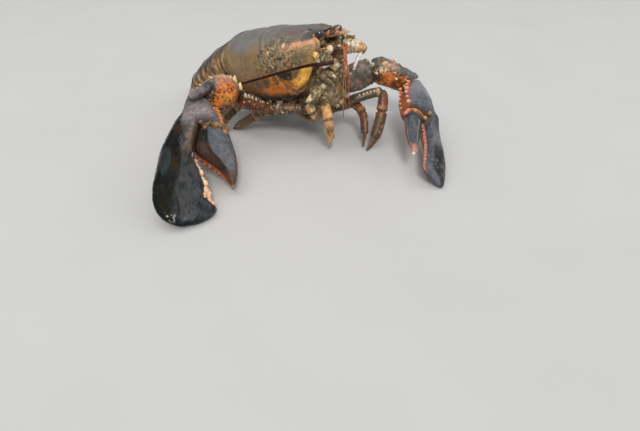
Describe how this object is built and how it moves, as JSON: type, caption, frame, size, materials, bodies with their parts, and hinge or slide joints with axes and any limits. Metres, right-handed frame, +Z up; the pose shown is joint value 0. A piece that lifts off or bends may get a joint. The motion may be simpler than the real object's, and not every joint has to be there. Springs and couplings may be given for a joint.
{
  "type": "american lobster",
  "caption": "Life-size American lobster standing still, claws lowered to the floor, feelers laid back along its body and tail curled under.",
  "frame": {"origin": "on the floor, at the middle of the footprint of the whole animal with its claws and feelers", "axes": "+Z up; the head points to -Y; +X is the animal's left side"},
  "size_m": [0.3704, 0.4567, 0.1371],
  "materials": {
    "shell_dark": "wet semi-gloss shell, slate to black",
    "shell_olive": "satin shell, olive brown",
    "shell_orange": "semi-gloss shell, orange",
    "claw_blue": "glossy shell, blue grey",
    "feeler_red": "satin, dark red",
    "eye_black": "high gloss, black",
    "belly_tan": "satin, tan"
  },
  "bodies": {
    "root": {"abdomen_1": "shell_olive", "abdomen_2": "shell_olive", "abdomen_3": "shell_olive", "abdomen_4": "shell_olive", "abdomen_5": "shell_olive", "abdomen_6": "shell_olive", "antenna_base_l": "belly_tan", "antenna_base_r": "belly_tan", "antenna_l": "feeler_red", "antenna_r": "feeler_red", "antenna_scale_l": "shell_olive", "antenna_scale_r": "shell_olive", "antennule_base_l": "belly_tan", "antennule_base_r": "belly_tan", "antennule_inner_l": "feeler_red", "antennule_inner_r": "feeler_red", "antennule_outer_l": "feeler_red", "antennule_outer_r": "feeler_red", "arm_carpus_l": "shell_orange", "arm_carpus_r": "shell_orange", "arm_ischium_l": "belly_tan", "arm_ischium_r": "belly_tan", "arm_merus_l": "shell_orange", "arm_merus_r": "shell_orange", "claw_dactyl_l": "claw_blue", "claw_dactyl_r": "claw_blue", "claw_palm_l": "claw_blue", "claw_palm_r": "claw_blue", "eye_l": "eye_black", "eye_r": "eye_black", "eyestalk_l": "shell_olive", "eyestalk_r": "shell_olive", "head_shell": "shell_dark", "leg_l_2": "shell_olive", "leg_l_3": "shell_olive", "leg_l_4": "shell_olive", "leg_l_5": "shell_olive", "leg_r_2": "shell_olive", "leg_r_3": "shell_olive", "leg_r_4": "shell_olive", "leg_r_5": "shell_olive", "maxilliped_l": "shell_olive", "maxilliped_r": "shell_olive", "mouth": "belly_tan", "sternum": "belly_tan", "telson": "shell_olive", "thorax_shell": "shell_dark", "uropod_inner_l": "shell_olive", "uropod_inner_r": "shell_olive", "uropod_outer_l": "shell_olive", "uropod_outer_r": "shell_olive"}
  },
  "joints": []
}
